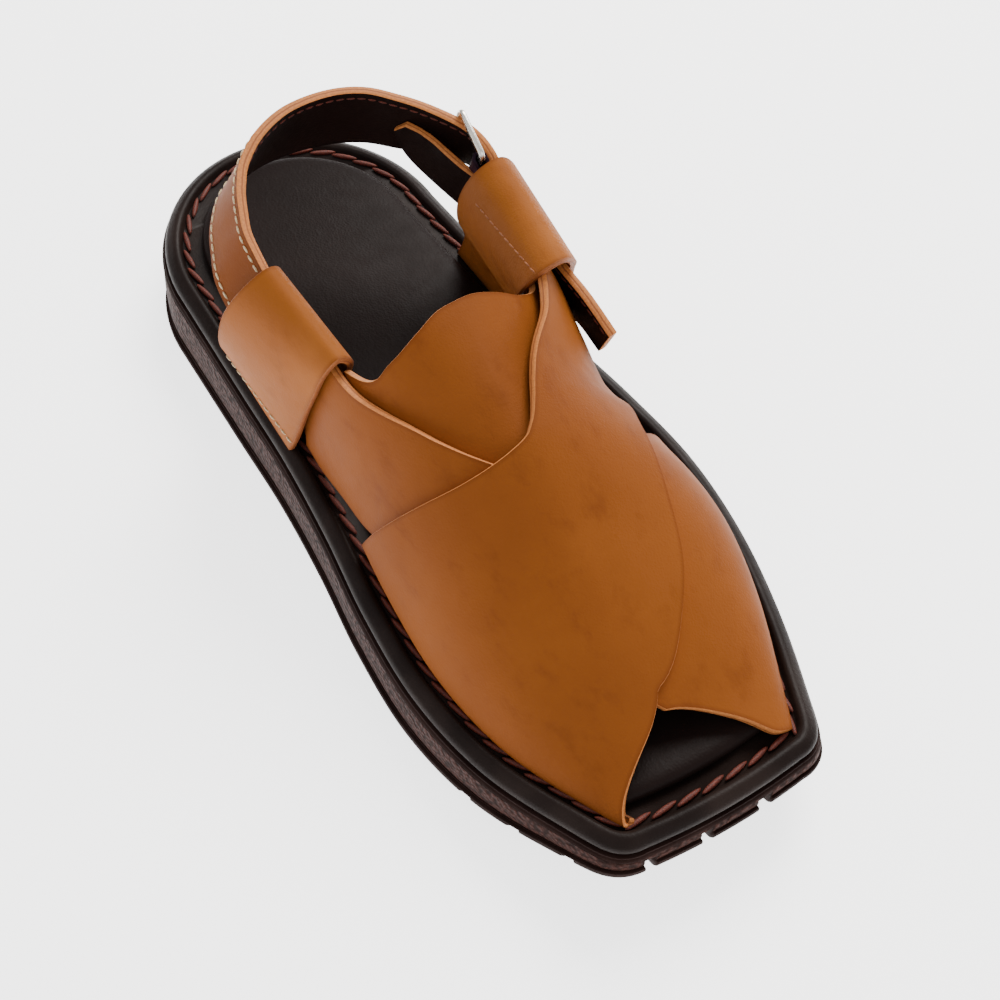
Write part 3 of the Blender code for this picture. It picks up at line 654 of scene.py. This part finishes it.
def leather_mesh(name, place, columns, rows, thickness, outer, outwards, edge_bulge=0.35):
    """A closed piece of leather: a grid for its grain side, one for its flesh side and a rounded cut edge.

    outer is how far the grain side stands off the points of place, and outwards is its rough direction
    at the start. The mesh stores each point's distance to the cut edge in mm, and its depth in the edge.
    """
    points = np.array([[place(i / columns, j / rows)[:] for j in range(rows + 1)]
                       for i in range(columns + 1)])
    run = np.gradient(points, axis=0)
    width = np.gradient(points, axis=1)
    normal = np.cross(run, width)
    normal /= np.maximum(np.linalg.norm(normal, axis=2, keepdims=True), 1e-9)
    if np.dot(normal[1, rows // 2], np.array(outwards, dtype=float)) < 0:
        normal = -normal
    grain = points + normal * outer
    flesh = grain - normal * thickness
    border = [(i, 0) for i in range(columns)] + [(columns, j) for j in range(rows)]
    border += [(i, rows) for i in range(columns, 0, -1)] + [(0, j) for j in range(rows, 0, -1)]
    edge_points = np.array([grain[i, j] for i, j in border])
    span = np.min(np.linalg.norm(grain.reshape(-1, 1, 3) - edge_points[None], axis=2), axis=1)
    span = span.reshape(columns + 1, rows + 1)
    bm = bmesh.new()
    from_edge = bm.verts.layers.float.new("from_edge")
    depth = bm.verts.layers.float.new("depth")

    def vertex(point, far, deep):
        made = bm.verts.new(placed(point))
        made[from_edge] = far
        made[depth] = deep
        return made

    faces = []
    for sheet, deep in ((grain, 0.0), (flesh, 1.0)):
        faces.append([[vertex(sheet[i, j], span[i, j], deep) for j in range(rows + 1)]
                      for i in range(columns + 1)])
        for i in range(columns):
            for j in range(rows):
                grid = faces[-1]
                face = bm.faces.new((grid[i][j], grid[i + 1][j], grid[i + 1][j + 1], grid[i][j + 1]))
                face.material_index = int(deep)
    chains = []
    for i, j in border:
        inner_i, inner_j = min(max(i, 1), columns - 1), min(max(j, 1), rows - 1)
        away = grain[i, j] - grain[inner_i, inner_j]
        away -= normal[i, j] * np.dot(away, normal[i, j])
        away /= max(np.linalg.norm(away), 1e-9)
        chain = [faces[0][i][j]]
        for share in EDGE_STEPS:
            bulge = edge_bulge * math.sin(math.pi * share) ** 0.6
            chain.append(vertex(grain[i, j] * (1 - share) + flesh[i, j] * share + away * bulge, 0.0, share))
        chain.append(faces[1][i][j])
        chains.append(chain)
    for here, there in zip(chains, chains[1:] + chains[:1]):
        for k in range(len(here) - 1):
            face = bm.faces.new((here[k], there[k], there[k + 1], here[k + 1]))
            face.material_index = 2
    return shaded_mesh(name, bm, 50.0)


def leather_finish(name, light, mid, dark, roughness=0.58, grain=1.0):
    """Smooth finished cowhide: broad pull-up tones, a fine pore relief and a darker band along its edge."""
    hide = Finish(name, roughness=roughness, specular=0.06)
    tone = hide.noise(14.0, 5.0, roughness=0.6)
    colour = hide.blend(tone.ramp(0.32, 0.68), mid, light)
    streak = hide.noise(120.0, 5.0, stretch=(1.0, 0.45, 1.0), roughness=0.65)
    colour = hide.blend(0.45 * streak.ramp(0.5, 0.78), colour, dark)
    rim = 1.0 - hide.attribute("from_edge").ramp(0.0, 1.6)
    colour = hide.blend(0.5 * rim, colour, dark)
    pores = hide.cells(1500.0)
    hide.set(Base_Color=colour, Roughness=roughness - 0.06 + 0.14 * hide.noise(240.0, 4.0))
    hide.relief(0.7 * hide.noise(1100.0, 6.0) + 0.5 * pores + 1.6 * hide.noise(70.0, 3.0),
                0.00016 * grain, 0.55)
    return hide


def cut_edge_finish(name, pale, core):
    """Raw cut edge of leather: pale fibre with a darker glue line between its two layers."""
    edge = Finish(name, roughness=0.62, specular=0.3)
    depth = edge.attribute("depth")
    off_line = edge.noise(400.0, 3.0) * 0.16 + depth - 0.62
    line = 1.0 - (off_line * off_line).ramp(0.001, 0.012)
    fibre = edge.noise(1500.0, 5.0)
    colour = edge.blend(fibre.ramp(0.3, 0.75), tuple(0.72 * c for c in pale), pale)
    edge.set(Base_Color=edge.blend(0.75 * line, colour, core))
    edge.relief(fibre + 0.5 * (1.0 - line), 0.00022, 0.6)
    return edge


tan_hide = leather_finish("tan_hide", (0.225, 0.064, 0.0105), (0.185, 0.050, 0.0080), (0.115, 0.027, 0.0045))
cut_edge = cut_edge_finish("cut_edge", (0.56, 0.19, 0.045), (0.20, 0.05, 0.012))
dark_lining = leather_finish("dark_lining", (0.013, 0.006, 0.005), (0.010, 0.005, 0.004),
                             (0.006, 0.003, 0.003), 0.5)
brown_flesh = leather_finish("brown_flesh", (0.19, 0.075, 0.030), (0.14, 0.052, 0.020),
                             (0.09, 0.03, 0.012), 0.7, 2.0)


def raised(around):
    """How far the top strap stands off the last: on the under strap, but down in the channel at its foot."""
    ease = min(max((around + 1.0) / 0.08, 0.0), 1.0)
    return TOP_STRAP_RISE * ease * ease * (3 - 2 * ease)


under_strap = leather_mesh("under_strap", strap_place(UNDER_STRAP_ROWS, lambda around: 0.0), 130, 56,
                           STRAP_THICKNESS, 0.0, (0, 0, 1))
add_piece("under_strap", under_strap, (tan_hide, brown_flesh, cut_edge), "upper_leather", "upper")
top_strap = leather_mesh("top_strap", strap_place(TOP_STRAP_ROWS, raised), 130, 64,
                         STRAP_THICKNESS, 0.0, (0, 0, 1))
add_piece("top_strap", top_strap, (tan_hide, brown_flesh, cut_edge), "upper_leather", "upper")

# Tongue.
# A thinner scalloped piece of the same hide under the V of the straps; its upper edge is cut in a
# wave and its two corners are tucked into the side loops.
TONGUE_ROWS = [
    StrapRow(0.525, 9.5, 0.58, -10.0), StrapRow(0.475, 0.9, 0.50, -30.0),
    StrapRow(0.34, -3.6, 0.34, -53.0), StrapRow(0.20, -3.5, 0.18, -68.0),
    StrapRow(0.07, -2.6, 0.06, -72.0), StrapRow(-0.04, -3.2, -0.06, -73.0),
    StrapRow(-0.16, -5.6, -0.20, -72.0), StrapRow(-0.295, -6.9, -0.33, -67.0),
    StrapRow(-0.40, -6.5, -0.43, -59.0), StrapRow(-0.48, -5.8, -0.50, -50.0),
    StrapRow(-0.55, -2.2, -0.58, -36.0), StrapRow(-0.62, 5.0, -0.645, -20.0),
]
TONGUE_THICKNESS = 2.1
TONGUE_DROP = 3.3
tongue = leather_mesh("tongue_leather", strap_place(TONGUE_ROWS, lambda around: -TONGUE_DROP), 110, 40,
                      TONGUE_THICKNESS, 0.0, (0, 0, 1), 0.25)
thin_edge = cut_edge_finish("thin_cut_edge", (0.62, 0.24, 0.075), (0.42, 0.14, 0.04))
add_piece("tongue_leather", tongue, (tan_hide, brown_flesh, thin_edge), "upper_leather", "tongue")

# Side loops.
# A band of hide on each side that comes up from the welt, folds over the heel strap and the strap
# ends, and goes down again inside; a fine seam closes it and another holds its foot.
LoopRow = namedtuple("LoopRow", "front_out front_y front_z rear_out rear_y rear_z")
MEDIAL_LOOP_ROWS = [
    LoopRow(44.8, 21.0, 27.6, 44.6, 65.0, 29.6), LoopRow(44.0, 17.0, 38.0, 48.4, 58.5, 41.0),
    LoopRow(43.0, 12.5, 52.0, 51.0, 51.5, 55.0), LoopRow(41.6, 8.5, 64.0, 50.4, 46.5, 68.0),
    LoopRow(39.4, 6.0, 74.0, 46.2, 42.5, 78.5), LoopRow(35.4, 5.0, 79.2, 39.0, 41.0, 84.4),
    LoopRow(31.4, 6.0, 76.0, 34.6, 43.0, 80.5), LoopRow(30.0, 9.0, 68.0, 34.0, 48.0, 70.0),
    LoopRow(32.2, 13.0, 55.0, 36.6, 53.0, 56.0), LoopRow(35.0, 17.0, 41.0, 38.2, 59.5, 42.0),
    LoopRow(37.0, 21.0, 25.4, 37.6, 65.0, 27.4),
]
LATERAL_LOOP_ROWS = [
    LoopRow(50.6, 27.0, 27.9, 48.0, 67.0, 29.9), LoopRow(50.4, 22.0, 39.0, 50.8, 61.0, 41.0),
    LoopRow(50.2, 16.5, 54.0, 53.6, 55.5, 56.0), LoopRow(47.4, 11.0, 68.0, 51.8, 50.5, 69.0),
    LoopRow(43.0, 4.8, 78.9, 47.8, 47.0, 80.2), LoopRow(36.6, 1.0, 86.4, 41.2, 44.5, 88.0),
    LoopRow(29.8, 2.0, 83.6, 34.4, 46.0, 84.0), LoopRow(26.4, 6.5, 73.0, 32.2, 50.0, 73.0),
    LoopRow(30.6, 14.0, 58.0, 35.0, 55.5, 58.0), LoopRow(39.6, 20.0, 42.0, 41.4, 61.0, 42.0),
    LoopRow(44.4, 26.0, 26.0, 42.6, 67.0, 27.9),
]


def loop_place(rows, outwards):
    """Map a share up, over and down a loop and a share from its front to its rear to a point."""
    def place(u, v):
        front, rear = (Vector((outwards * along(rows, end + "_out", u), along(rows, end + "_y", u),
                               along(rows, end + "_z", u))) for end in ("front", "rear"))
        return front.lerp(rear, v)
    return place


def surface_path(place, spots, lift, towards=(-1, 0, 0)):
    """A path of (u, v) spots on a piece, in metres, lifted off its surface on the side it is seen from."""
    path = []
    for u, v in spots:
        here = place(u, v)
        run = place(min(u + 0.01, 1.0), v) - place(max(u - 0.01, 0.0), v)
        width = place(u, min(v + 0.05, 1.0)) - place(u, max(v - 0.05, 0.0))
        off = run.cross(width).normalized()
        path.append(placed(here + off * (lift if off.dot(Vector(towards)) > 0 else -lift)))
    return path


# The loops take a lighter copy of the tan hide, brighter as if the key lamp fell on them: painted light.
loop_hide_painted_light = leather_finish("loop_hide_painted_light", (0.31, 0.098, 0.0190), (0.235, 0.070, 0.0120), (0.14, 0.036, 0.0060))
loop_edge = cut_edge_finish("loop_cut_edge", (0.30, 0.09, 0.02), (0.13, 0.035, 0.01))
LOOP_THICKNESS = 2.3
medial_place = loop_place(MEDIAL_LOOP_ROWS, -1)
lateral_place = loop_place(LATERAL_LOOP_ROWS, 1)
for name, place, outwards in (("medial", medial_place, -1), ("lateral", lateral_place, 1)):
    mesh = leather_mesh(name + "_loop", place, 110, 34, LOOP_THICKNESS, LOOP_THICKNESS / 2, (outwards, 0, 0))
    add_piece(name + "_loop", mesh, (loop_hide_painted_light, brown_flesh, loop_edge), "upper_leather", "loop_" + name)

cream_thread = thread_finish("cream_thread", (0.72, 0.58, 0.36), (0.42, 0.28, 0.14))
tan_thread = thread_finish("tan_thread", (0.46, 0.17, 0.06), (0.20, 0.06, 0.02))
steps = [k / 60 for k in range(61)]
foot_seam = surface_path(medial_place, [(0.055, 0.04 + 0.86 * s) for s in steps], 1.3)
closing_seam = surface_path(lateral_place, [(0.651 - 0.038 * s, 0.78 - 0.73 * s) for s in steps], 1.2)
sew("lateral_loop_closing_seam", [(closing_seam, False)], StitchKind(3.0, 2.7, 0.6, 0.5, 4.0, 7),
    tan_thread, "upper_leather")
sew("medial_loop_foot_seam", [(foot_seam, False)], StitchKind(3.3, 2.7, 0.75, 0.6, 4.0, 5),
    cream_thread, "upper_leather")

# Heel strap.
# A strap of two layers, tan outside and dark lining inside, sewn along both edges with cream thread,
# rust-brown inside. It runs from the inner loop round the heel, through the buckle and the outer loop.
BandRow = namedtuple("BandRow", "x y z lean width")
HEEL_STRAP_ROWS = [
    BandRow(-40.4, 32.0, 67.0, 20.0, 21.0), BandRow(-42.2, 44.0, 71.0, 24.0, 21.0),
    BandRow(-42.0, 56.0, 75.8, 27.0, 21.0), BandRow(-39.6, 64.4, 78.5, 27.0, 21.0),
    BandRow(-35.8, 72.5, 81.3, 27.0, 21.0), BandRow(-30.0, 79.7, 83.5, 26.0, 21.0),
    BandRow(-20.4, 85.7, 85.3, 21.0, 21.0), BandRow(-8.0, 88.6, 86.2, 12.0, 21.0),
    BandRow(5.6, 87.6, 86.4, 6.0, 21.0), BandRow(16.3, 83.6, 86.0, 4.0, 21.0),
    BandRow(24.9, 76.8, 84.8, 6.0, 21.0), BandRow(33.0, 69.9, 83.0, 12.0, 21.0),
    BandRow(39.8, 62.8, 81.0, 18.0, 21.0), BandRow(43.6, 56.4, 77.8, 19.0, 21.0),
    BandRow(45.2, 49.6, 73.6, 18.0, 21.0), BandRow(45.4, 40.0, 70.0, 15.5, 21.0),
    BandRow(44.8, 25.0, 68.0, 14.0, 21.0), BandRow(43.2, 9.0, 66.4, 13.0, 21.0),
    BandRow(44.2, -3.0, 64.0, 14.0, 21.0), BandRow(45.6, -12.7, 59.6, 14.0, 20.0),
]
HEEL_STRAP_THICKNESS = 2.9


def band_frame(rows, u):
    """Centre, run, downward direction across and width of a band at a share of its length."""
    centre = Vector([along(rows, axis, u) for axis in "xyz"])
    low, high = max(u - 0.01, 0.0), min(u + 0.01, 1.0)
    run = Vector([along(rows, axis, high) - along(rows, axis, low) for axis in "xyz"]).normalized()
    sideways = run.cross(Vector((0, 0, 1))).normalized()
    if sideways.dot(Vector((centre.x, centre.y - 20.0, 0.0))) < 0:
        sideways = -sideways
    lean = math.radians(along(rows, "lean", u))
    down = (sideways * math.sin(lean) - Vector((0, 0, 1)) * math.cos(lean))
    down = (down - run * down.dot(run)).normalized()
    return centre, run, down, along(rows, "width", u)


def band_place(rows):
    """Map a share along a band and a share across it to a point."""
    def place(u, v):
        centre, run, down, width = band_frame(rows, u)
        return centre + down * width * (v - 0.5)
    return place


heel_place = band_place(HEEL_STRAP_ROWS)
# The heel strap and the buckle guard take a darker copy of the tan hide: painted shade.
strap_hide_painted_shade = leather_finish("strap_hide_painted_shade", (0.20, 0.055, 0.0080), (0.155, 0.040, 0.0060),
                            (0.09, 0.020, 0.0030))
heel_mesh = leather_mesh("heel_strap_leather", heel_place, 330, 14,
                         HEEL_STRAP_THICKNESS, HEEL_STRAP_THICKNESS / 2, (-1, 0, 0))
add_piece("heel_strap_leather", heel_mesh, (strap_hide_painted_shade, dark_lining, cut_edge), "strap_leather", "heel_strap")


def band_seam(rows, share, from_u, to_u, lift):
    """A path along a band at a share of its width, lifted outwards, or inwards if lift is negative."""
    path = []
    for step in range(241):
        u = from_u + (to_u - from_u) * step / 240
        centre, run, down, width = band_frame(rows, u)
        out = run.cross(down).normalized()
        if out.dot(Vector((centre.x, centre.y - 20.0, 0.0))) < 0:
            out = -out
        path.append(placed(centre + down * width * (share - 0.5) + out * lift))
    return path


small_stitch = StitchKind(3.25, 2.75, 0.75, 0.6, 5.0, 11)
sew("heel_strap_outer_seams",
    [(band_seam(HEEL_STRAP_ROWS, share, 0.02, 0.985, 1.55), False) for share in (0.1, 0.9)],
    small_stitch, cream_thread, "strap_leather")
sew("heel_strap_inner_seams", [(band_seam(HEEL_STRAP_ROWS, 0.1, 0.02, 0.985, -1.5), False)],
    small_stitch, rust_thread, "strap_leather")

# Buckle guard.
# A short tab of the same lined leather that lies inside the heel strap, from the buckle down into the
# outer loop, so that the metal doesn't touch the ankle.
GUARD_ROWS = [
    BandRow(24.0, 73.6, 86.0, 6.0, 5.0), BandRow(26.9, 70.6, 81.5, 6.0, 12.0),
    BandRow(30.6, 65.4, 76.3, 6.0, 16.0), BandRow(34.6, 57.0, 72.2, 7.0, 17.8),
    BandRow(38.0, 48.0, 70.0, 8.0, 19.0), BandRow(39.6, 37.0, 69.0, 10.0, 19.0),
]
GUARD_THICKNESS = 2.3
guard_mesh = leather_mesh("buckle_guard_leather", band_place(GUARD_ROWS), 70, 14,
                          GUARD_THICKNESS, GUARD_THICKNESS / 2, (1, 1, 0))
add_piece("buckle_guard_leather", guard_mesh, (strap_hide_painted_shade, dark_lining, cut_edge), "strap_leather",
          "buckle_guard")

# Buckle.
# A plated frame of flat bar that the heel strap passes through aslant, its rear bar outside the strap
# and its front bar inside, and a strip of dark leather folded round that bar and sewn into the loop.
plated = Finish("plated_wire", roughness=0.22, metallic=1.0, specular=0.5)
plated.set(Base_Color=plated.blend(plated.noise(300.0).ramp(0.3, 0.7), (0.74, 0.70, 0.60),
                                   (0.86, 0.83, 0.76)),
           Roughness=0.18 + 0.16 * plated.noise(500.0, 4.0))
plated.relief(plated.noise(1800.0, 3.0), 0.00004, 0.4)
BUCKLE_SHARE = 11.9 / 19
BAR_WIDTH = 2.7
BAR_THICKNESS = 1.7
FRAME_BEFORE, FRAME_BEYOND = 3.8, 11.4
FRAME_TURN = math.radians(42.0)


def flat_ring(name, points, normal, width, thickness, corner_steps=4):
    """A closed ring of flat bar with rounded edges, lying square to normal, through a ring of points."""
    bm = bmesh.new()
    count = len(points)
    middle = sum(points, Vector()) / count
    section = []
    soft = 0.36 * thickness
    for turn, (a, b) in enumerate(((1, 1), (-1, 1), (-1, -1), (1, -1))):
        for step in range(corner_steps):
            angle = math.pi / 2 * (turn + step / (corner_steps - 1))
            section.append((a * (width / 2 - soft) + math.cos(angle) * soft,
                            b * (thickness / 2 - soft) + math.sin(angle) * soft))
    loops = []
    for k in range(count):
        run = (points[(k + 1) % count] - points[k - 1]).normalized()
        out = run.cross(normal).normalized()
        if out.dot(points[k] - middle) < 0:
            out = -out
        loops.append([bm.verts.new(placed(points[k] + out * a + normal * b)) for a, b in section])
    sides = len(section)
    for here, there in zip(loops, loops[1:] + loops[:1]):
        for s in range(sides):
            bm.faces.new((here[s], here[(s + 1) % sides], there[(s + 1) % sides], there[s]))
    return shaded_mesh(name, bm, 60.0)


centre, run, down, width = band_frame(HEEL_STRAP_ROWS, BUCKLE_SHARE)
outwards = run.cross(down).normalized()
if outwards.x < 0:
    outwards = -outwards
link = run * math.cos(FRAME_TURN) - outwards * math.sin(FRAME_TURN)
half_long = width / 2 + BAR_WIDTH / 2 + 0.9
CORNER = 1.6
frame_middle = centre + link * (FRAME_BEYOND - FRAME_BEFORE) / 2
half_link = (FRAME_BEYOND + FRAME_BEFORE) / 2
frame_points = []
for turn, (a, b) in enumerate(((1, 1), (-1, 1), (-1, -1), (1, -1))):
    for step in range(7):
        angle = math.radians(90 * turn + step * 15)
        frame_points.append(frame_middle + down * (a * (half_long - CORNER) + math.cos(angle) * CORNER)
                            + link * (b * (half_link - CORNER) + math.sin(angle) * CORNER))
frame_mesh = flat_ring("buckle_wire", frame_points, down.cross(link).normalized(), BAR_WIDTH, BAR_THICKNESS)
add_piece("buckle_wire", frame_mesh, (plated,), "buckle_metal", "buckle_frame")

TIE_THICKNESS = 1.0
TIE_WRAP = 1.95
BAR_FROM_CENTRE = 1.15 / 19
TIE_REACH = 1.7 / 19
PLY_SHARE = 0.36


def tie_place(u, v):
    """The strip folded round the buckle's inner bar, both its plies running on into the outer loop."""
    slide = half_long * (1.5 * v - 0.8)
    bar = frame_middle + link * (half_link - 0.3) + down * slide
    near, along_near, across_near, _ = band_frame(HEEL_STRAP_ROWS, BUCKLE_SHARE + BAR_FROM_CENTRE)
    out_near = along_near.cross(across_near).normalized()
    out_near *= 1 if out_near.x > 0 else -1
    if PLY_SHARE <= u <= 1 - PLY_SHARE:
        angle = math.pi * (u - PLY_SHARE) / (1 - 2 * PLY_SHARE)
        return bar + (out_near * math.cos(angle) - along_near * math.sin(angle)) * TIE_WRAP
    outer = u < PLY_SHARE
    onward = 1 - u / PLY_SHARE if outer else (u - 1 + PLY_SHARE) / PLY_SHARE
    ply = (1 if outer else -1) * TIE_WRAP * (1 - 0.5 * onward)
    middle, along_here, across_here, _ = band_frame(
        HEEL_STRAP_ROWS, BUCKLE_SHARE + BAR_FROM_CENTRE + TIE_REACH * onward)
    out_here = along_here.cross(across_here).normalized()
    out_here *= 1 if out_here.x > 0 else -1
    inset = (near + across_near * slide - bar).dot(out_near)
    start = bar - (near + across_near * slide - out_near * inset)
    return middle + across_here * slide - out_here * (inset - ply) + start * (1 - onward)


tie_hide = leather_finish("tie_hide", (0.030, 0.012, 0.026), (0.018, 0.008, 0.016),
                          (0.010, 0.004, 0.008), 0.4)
tie_mesh = leather_mesh("buckle_tie", tie_place, 60, 18, TIE_THICKNESS, TIE_THICKNESS / 2,
                        outwards[:], 0.15)
add_piece("buckle_tie", tie_mesh, (tie_hide, tie_hide, tie_hide), "strap_leather")
